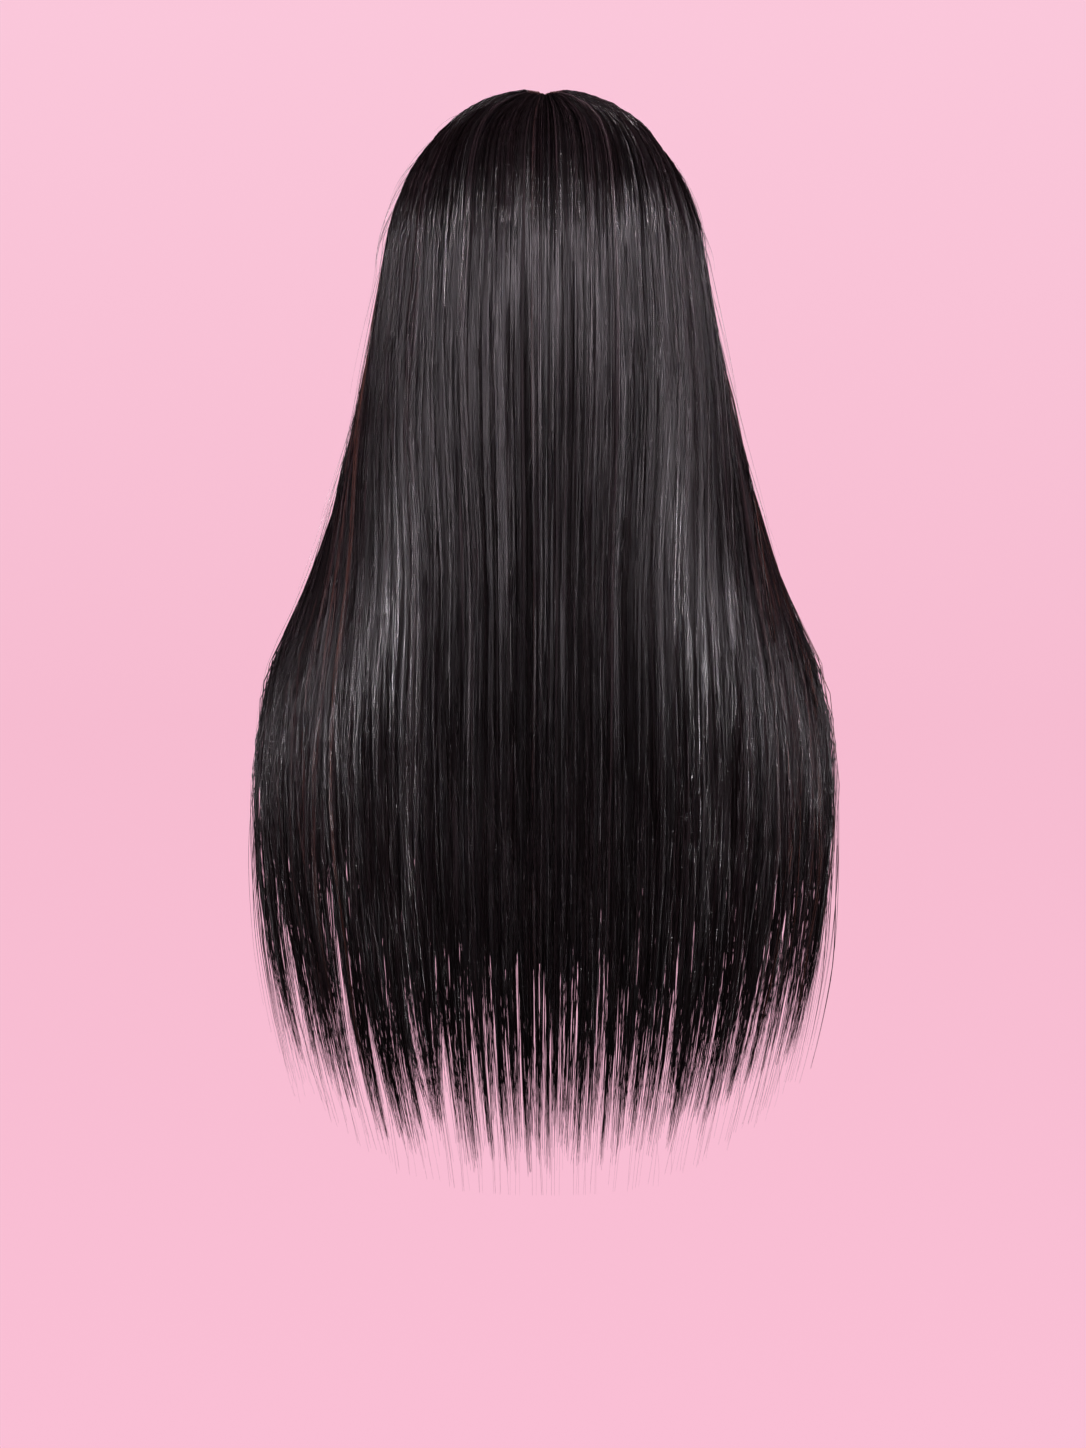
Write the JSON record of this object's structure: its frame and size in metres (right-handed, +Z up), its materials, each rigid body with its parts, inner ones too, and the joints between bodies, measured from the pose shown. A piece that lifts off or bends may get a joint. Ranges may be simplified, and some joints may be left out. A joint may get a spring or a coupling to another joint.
{
  "type": "lace front wig",
  "caption": "Long straight black wig with a centre parting, a lace front and a cloth cap, in the form that it keeps on a head.",
  "frame": {"origin": "the point inside the cap that rests on the crown of the head", "axes": "+Z up, the face looks along -Y, the wearer's left is +X; the hair falls along -Z"},
  "size_m": [0.3392, 0.2045, 0.6476],
  "materials": {
    "hair": "glossy straight black hair with soft highlights",
    "under_hair": "black hair wefts in shade",
    "lace": "fine hexagonal net in a pale brown",
    "cap_cloth": "matt black stretch cloth with sewn wefts"
  },
  "bodies": {
    "root": {"lace_front": "lace", "wig_cap": "cap_cloth", "back_hair": "hair", "side_hair_left": "hair", "side_hair_right": "hair", "front_hair_left": "hair", "front_hair_right": "hair", "under_hair_left": "under_hair", "under_hair_right": "under_hair"}
  },
  "joints": []
}
